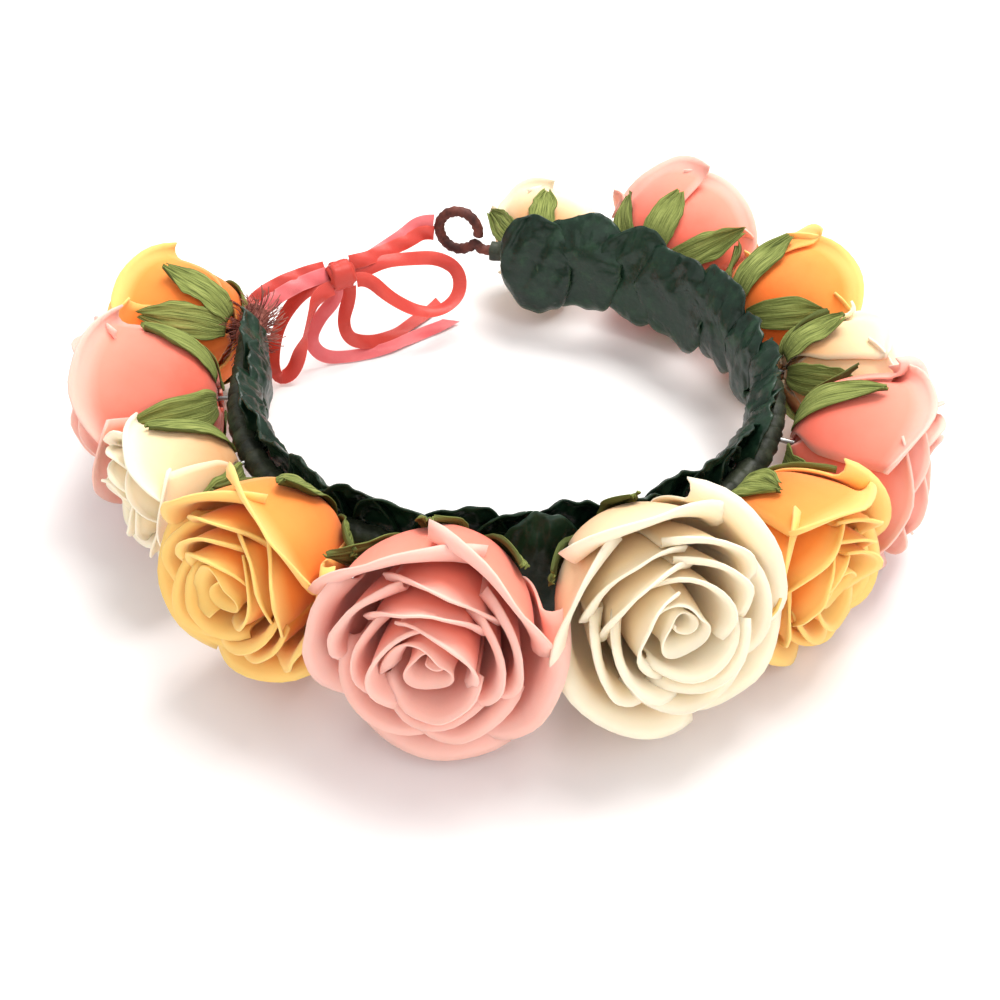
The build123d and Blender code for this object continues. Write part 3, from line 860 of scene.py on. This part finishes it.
def frayed_tree():
    """Loose fibres standing out of a lashing, each a thin bent strip."""
    tree, enter, leave = nodes_tree("frayed_fibres", [
        ("Density", "NodeSocketFloat", 60000.0), ("Length", "NodeSocketFloat", 0.009),
        ("Seed", "NodeSocketInt", 4), ("Material", "NodeSocketMaterial", None),
    ])
    scatter = tree.nodes.new("GeometryNodeDistributePointsOnFaces")
    bend = tree.nodes.new("GeometryNodeCurveQuadraticBezier")
    bend.inputs["Resolution"].default_value = 8
    bend.inputs["Start"].default_value = (0, 0, 0)
    bend.inputs["Middle"].default_value = (0.15, 0, 0.6)
    bend.inputs["End"].default_value = (0.6, 0.1, 0.95)
    thick = tree.nodes.new("GeometryNodeCurvePrimitiveCircle")
    thick.inputs["Resolution"].default_value = 4
    thick.inputs["Radius"].default_value = 0.03
    fibre = tree.nodes.new("GeometryNodeCurveToMesh")
    fibre.inputs["Fill Caps"].default_value = True
    place = tree.nodes.new("GeometryNodeInstanceOnPoints")
    size = node(tree, "FunctionNodeRandomValue", data_type="FLOAT")
    size.inputs[2].default_value, size.inputs[3].default_value = 0.35, 1.0
    scale = math_node(tree, "MULTIPLY", size.outputs[1], enter.outputs["Length"])
    real = tree.nodes.new("GeometryNodeRealizeInstances")
    paint = tree.nodes.new("GeometryNodeSetMaterial")
    joined(
        tree,
        (enter.outputs["Geometry"], scatter.inputs["Mesh"]),
        (enter.outputs["Density"], scatter.inputs["Density"]),
        (enter.outputs["Seed"], scatter.inputs["Seed"]),
        (enter.outputs["Seed"], size.inputs["Seed"]),
        (bend.outputs["Curve"], fibre.inputs["Curve"]),
        (thick.outputs["Curve"], fibre.inputs["Profile Curve"]),
        (scatter.outputs["Points"], place.inputs["Points"]),
        (scatter.outputs["Rotation"], place.inputs["Rotation"]),
        (fibre.outputs["Mesh"], place.inputs["Instance"]),
        (scale, place.inputs["Scale"]),
        (place.outputs["Instances"], real.inputs["Geometry"]),
        (real.outputs["Geometry"], paint.inputs["Geometry"]),
        (enter.outputs["Material"], paint.inputs["Material"]),
        (paint.outputs["Geometry"], leave.inputs["Geometry"]),
    )
    return tree


def grown(name, holder, tree, **values):
    """Runs a geometry tree on an object and keeps the result as a plain mesh piece."""
    modifier = holder.modifiers.new("grow", "NODES")
    modifier.node_group = tree
    for item in tree.interface.items_tree:
        key = item.name.replace(" ", "_")
        if item.in_out == "INPUT" and key in values:
            modifier[item.identifier] = values[key]
    bpy.context.view_layer.update()
    graph = bpy.context.evaluated_depsgraph_get()
    mesh = bpy.data.meshes.new_from_object(holder.evaluated_get(graph))
    mesh.name = name
    mesh.polygons.foreach_set("use_smooth", np.ones(len(mesh.polygons), bool))
    bpy.data.objects.remove(holder)
    return linked(bpy.data.objects.new(name, mesh))


def path_object(line):
    """A plain open path, in metres, for a geometry tree to work on."""
    data = bpy.data.curves.new("path", "CURVE")
    data.dimensions = "3D"
    spline = data.splines.new("POLY")
    spline.points.add(len(line) - 1)
    for point, place in zip(spline.points, line):
        point.co = (*(np.array(place) * MM), 1)
    return linked(bpy.data.objects.new("path", data))


WOUND_TAPE = wound_tape_tree()
FRAYED = frayed_tree()


def make_tape(body, first, last):
    line = band_line(first, last, 120)
    piece = grown(
        f"tape_{body}_wound", path_object(line), WOUND_TAPE, Radius=(TAPE_R - 0.5) * MM,
        Pitch=TAPE_PITCH * MM, Lap=0.7 * MM, Wrinkle=0.5 * MM, Seed=float(len(body)),
        Material=FLORAL_TAPE,
    )
    stands_for(piece, f"tape_{body}", BODY_OF_SIDE[body])


def make_eye():
    """The wire's end bent to a ring and wound with brown tape."""
    mount = next(m for m in frame["record"]["mounts"] if m["name"] == "ribbon_eye")
    centre = np.array(mount["pos_m"]) / MM
    normal = np.array(mount["axis"])
    up = np.array([0, 0, 1.0])
    along = np.cross(up, normal)
    turn = np.radians(np.linspace(218, 218 + 332, 60))
    ring = centre + EYE_RADIUS * (np.outer(np.cos(turn), along) + np.outer(np.sin(turn), up))
    wire_end = band_line(RIGHT_END, RIGHT_END, 1)
    neck = wire_end + along * 4
    line = np.concatenate([wire_end - along * 3, wire_end, neck, ring])
    piece = grown(
        "eye_right_wound", path_object(line), WOUND_TAPE, Radius=1.75 * MM,
        Pitch=2.6 * MM, Lap=0.5 * MM, Wrinkle=0.5 * MM, Seed=9.0, Material=BROWN_TAPE,
    )
    stands_for(piece, "eyelet_right", "right_arm")


def make_lashing():
    """Raffia wound over the left end, with its frayed fibres standing out."""
    line = band_line(LEFT_END + 7.5, LEFT_END, 30)
    line = np.concatenate([line, line[-1:] + (line[-1:] - line[-2:-1]) * 3])
    wound = grown(
        "lashing_left_wound", path_object(line), WOUND_TAPE, Radius=4.5 * MM,
        Pitch=2.2 * MM, Lap=0.9 * MM, Wrinkle=1.1 * MM, Seed=5.0, Material=RAFFIA,
    )
    holder = linked(wound.copy())
    holder.data = wound.data.copy()
    fray = grown("lashing_left_fibres", holder, FRAYED, Length=8 * MM, Material=RAFFIA,
                 Density=420000.0)
    for piece in (wound, fray):
        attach(piece, "left_arm")
    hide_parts("lashing_left")


# ---- ribbon ----
KNOT_LOW, KNOT_HIGH = (np.array(c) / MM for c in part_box("bow_knot"))
KNOT_CENTRE = (KNOT_LOW + KNOT_HIGH) / 2
# the routes, in millimetres, are those of the crown's model
STRAND_LEFT = [
    (-54.5, 85.0, 33.0), (-52.1, 89.4, 33.0), (-46.5, 90.8, 35.4), (-38.0, 91.2, 37.6),
    (-29.5, 90.5, 39.0), (-22.5, 90.5, 39.0),
]
STRAND_RIGHT = [
    (28.2, 97.5, 40.4), (24.7, 101.1, 40.4), (16.0, 98.5, 38.6), (5.0, 95.0, 38.4),
    (-5.0, 90.5, 39.0), (-12.5, 90.5, 39.0),
]
LOOP_LEFT = [
    (-22.5, 89.0, 35.6), (-28.0, 89.0, 35.6), (-36.5, 90.5, 31.0), (-45.0, 89.8, 21.5),
    (-49.6, 87.5, 10.0), (-49.2, 84.8, 2.8), (-43.2, 83.2, 5.0), (-38.6, 83.4, 15.0),
    (-33.4, 84.6, 25.5), (-28.2, 85.8, 34.2), (-22.5, 85.8, 34.2),
]
LOOP_RIGHT = [
    (-12.5, 86.0, 34.4), (-8.0, 86.0, 34.4), (-1.0, 81.5, 25.0), (9.0, 77.6, 17.5),
    (19.5, 76.6, 15.6), (28.6, 78.8, 19.0), (31.0, 83.0, 27.0), (24.0, 87.0, 33.0),
    (13.0, 89.4, 34.6), (1.0, 90.0, 36.6), (-7.0, 89.3, 35.6), (-12.5, 89.3, 35.6),
]
TAIL_CORAL = [
    (-15.4, 87.0, 32.5), (-15.4, 87.0, 27.5), (-19.6, 86.6, 18.5), (-18.0, 85.8, 10.0),
    (-9.5, 86.6, 5.0), (2.5, 90.0, 1.7), (14.5, 95.5, 1.5), (25.0, 99.4, 1.6),
    (33.0, 104.5, 1.5),
]
TAIL_PINK = [
    (-19.8, 89.0, 32.5), (-19.8, 89.0, 27.5), (-27.5, 90.8, 20.0), (-32.5, 91.4, 11.0),
    (-28.0, 89.0, 3.0), (-17.0, 85.4, 1.5), (-5.0, 83.6, 1.6), (7.0, 85.4, 1.5),
    (18.5, 86.0, 1.6), (29.5, 88.6, 1.5),
]


def strip(sheets, line, facing, spread=(0, 0), cut=0.0):
    """A flat ribbon along a line, its face turned the ways that facing lists.

    spread moves the strip up or down across the line, from its first end to its last.
    """
    count = len(line)
    share = np.linspace(0, 1, count)
    tangent = np.gradient(line, axis=0)
    tangent /= np.linalg.norm(tangent, axis=1)[:, None]
    facing = np.array(facing, float)
    at = np.linspace(0, 1, len(facing))
    face = np.stack([np.interp(share, at, facing[:, i]) for i in range(3)], -1)
    face -= tangent * np.sum(face * tangent, 1)[:, None]
    face /= np.linalg.norm(face, axis=1)[:, None]
    width = np.cross(face, tangent)
    n = 5
    u = np.linspace(-1, 1, n)[:, None, None]
    across = u / 2 * RIBBON_WIDTH
    shift = np.interp(share, (0, 1), spread)[:, None] * width
    curl = (0.35 * (1 - u**2) + 0.25 * np.sin(share * 23 + u * 2)[..., None][:, 0]) * face
    grid = line + shift + across * width + curl
    last = np.clip((share - 0.93) / 0.07, 0, 1)[None, :, None]
    grid = grid + across * cut * last * tangent
    sheets.add(above_table(grid), RIBBON_THICK, 0.4)


def ribbon_piece(name, node_name, route, material, body, facing,
                 cut=0.0):
    line, length = even(spline_line(route), 90)
    sheets = Sheets()
    strip(sheets, line, facing, cut=cut)
    piece = sheets.piece(name, material)
    declare_ribbon(piece, node_name, body)
    return piece


def strand_piece(name, node_name, route, arm, facing, spread):
    """Two ribbons side by side, pink and coral, from an end of the band to the knot."""
    line, length = even(spline_line(route), 60)
    sheets = Sheets()
    for side, near_knot in ((1, 0.9), (-1, -0.9)):
        strip(sheets, line + np.array([0, 0.45 * side, 0]), facing, (side * spread, near_knot))
    piece = sheets.piece(name, CORAL)
    piece.data.materials.append(PINK)
    half = len(piece.data.polygons) // 2
    first = 0 if arm == "right_arm" else half
    for polygon in piece.data.polygons[first:first + half]:
        polygon.material_index = 1
    declare_ribbon(piece, node_name, arm)


def declare_ribbon(piece, node_name, body):
    piece.data.set_sharp_from_angle(angle=0.9)
    if body == "bow":
        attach(piece, body)
    else:
        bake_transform(piece)
    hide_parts(node_name)


def make_knot():
    """Ribbon wrapped three times round the middle of the bow."""
    sheets = Sheets()
    turn = np.linspace(0, 2 * math.pi * 1.02, 44)
    wraps = ((6, 3.6, 4.6), (-14, 4.1, 4.9), (20, 3.3, 4.2))
    for k, (lean, wide, tall) in enumerate(wraps):
        a = math.radians(lean)
        up = np.array([math.sin(a), 0.15 * k, math.cos(a)])
        out = np.array([0.1 * k, 1.0, 0.0])
        line = KNOT_CENTRE + np.outer(np.cos(turn) * tall, up)
        line = line + np.outer(np.sin(turn) * wide, out)
        axis = np.cross(up, out)
        grid = line[None] + np.linspace(-1, 1, 7)[:, None, None] * 5.4 * axis
        pinch = 1 - 0.16 * np.linspace(-1, 1, 7)[:, None, None] ** 2
        grid = KNOT_CENTRE + (grid - KNOT_CENTRE) * pinch
        sheets.add(grid, RIBBON_THICK * 2, 0.2 + 0.3 * k)
    piece = sheets.piece("bow_knot_wrapped", CORAL)
    stands_for(piece, "bow_knot", "bow")


def make_ribbons():
    """Faces are turned up and towards the front of the crown, with a twist in each loop."""
    front, top, side = (-0.35, -0.8, 0.45), (-0.2, -0.35, 0.9), (-0.8, -0.45, 0.4)
    strand_piece("strand_left_satin", "ribbon_strand_left", STRAND_LEFT,
                 "left_arm", [front, front, (-0.3, -0.7, 0.65), front], 2.1)
    strand_piece("strand_right_satin", "ribbon_strand_right", STRAND_RIGHT,
                 "right_arm", [front, front, (-0.1, -0.7, 0.7), front], -2.1)
    left = ribbon_piece(
        "loop_left_satin", "bow_loop_left", LOOP_LEFT, CORAL, "bow",
        [top, top, side, side, side, front, (0.75, -0.6, 0.1), (0.6, -0.7, 0.3), front],
    )
    right = ribbon_piece(
        "loop_right_satin", "bow_loop_right", LOOP_RIGHT, CORAL, "bow",
        [front, (-0.3, -0.5, 0.8), top, top, (-0.7, -0.5, 0.5), (-0.2, -0.7, 0.7),
         (0.1, -0.7, 0.7), front],
    )
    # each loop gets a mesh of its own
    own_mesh(left)
    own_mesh(right)
    ribbon_piece("tail_coral_satin", "bow_tail_coral", TAIL_CORAL, CORAL,
                 "bow", [front, side, front, (-0.1, -0.7, 0.7), top, top, (0, -0.2, 1)],
                 cut=0.7)
    ribbon_piece("tail_pink_satin", "bow_tail_pink", TAIL_PINK, PINK, "bow",
                 [front, side, front, front, (0, -0.5, 0.8), top, (-0.2, -0.6, 0.7),
                  (0, -0.2, 1)], cut=-0.8)


# ---- floor and light ----
def make_stage():
    floor = make_piece(
        "table_top", np.array([[-4, -4, 0], [4, -4, 0], [4, 4, 0], [-4, 4, 0.0]]),
        np.array([[0, 1, 2, 3]]), pale_floor(),
    )
    world = bpy.data.worlds.new("soft_room")
    bpy.context.scene.world = world
    world.use_nodes = True
    world.node_tree.nodes["Background"].inputs["Color"].default_value = (1.0, 0.99, 0.985, 1)
    world.node_tree.nodes["Background"].inputs["Strength"].default_value = 0.72
    for name, place, size, power, tint in (
        ("window", (0.35, 0.15, 1.0), 0.6, 13, (1.0, 0.98, 0.95)),
        ("fill", (-0.9, -0.75, 0.85), 1.2, 4, (0.98, 0.99, 1.0)),
        ("front", (0.25, -0.9, 0.7), 0.8, 2.5, (1.0, 0.98, 0.97)),
    ):
        data = bpy.data.lights.new(name, "AREA")
        data.size, data.energy, data.color = size, power, tint
        lamp = linked(bpy.data.objects.new(name, data))
        lamp.location = place
        lamp.rotation_mode = "QUATERNION"
        lamp.rotation_quaternion = (-Vector(place)).to_track_quat("-Z", "Y")


def pale_floor():
    finish = Finish("pale_table", Roughness=0.6, Specular_IOR_Level=0.2)
    grain = finish.group(GRAIN, Coarse=3.0, Fine=90.0, Fine_Share=0.3)
    colour = finish.ramp(grain.outputs["Mottle"],
                         [(0.3, (0.90, 0.885, 0.885)), (0.7, (0.93, 0.92, 0.92))])
    finish.paint(colour)
    return finish.material


# ---- the whole crown ----
make_eye()
make_ribbons()
make_knot()
make_lashing()
half_gap = math.degrees(FLEX_GAP / 2 / BAND_R)
make_tape("left", LEFT_FLEX - half_gap, LEFT_END)
make_tape("front", LEFT_FLEX + half_gap, RIGHT_FLEX - half_gap)
make_tape("right", RIGHT_FLEX + half_gap, RIGHT_END + 360)
heads = {number: make_rose(number) for number in COLOURS}
for side_name, body_name in BODY_OF_SIDE.items():
    make_leaves(side_name)
    make_sepals(side_name, [heads[k] for k in COLOURS if BODY_OF_ROSE[k] == body_name])
    for inner_node in (f"wire_{side_name}", f"stems_{side_name}"):
        carried_node = frame["nodes"][inner_node]
        carried_node.data.materials.clear()
        carried_node.data.materials.append(WIRE)
make_stage()
bpy.context.scene.view_settings.view_transform = "Standard"
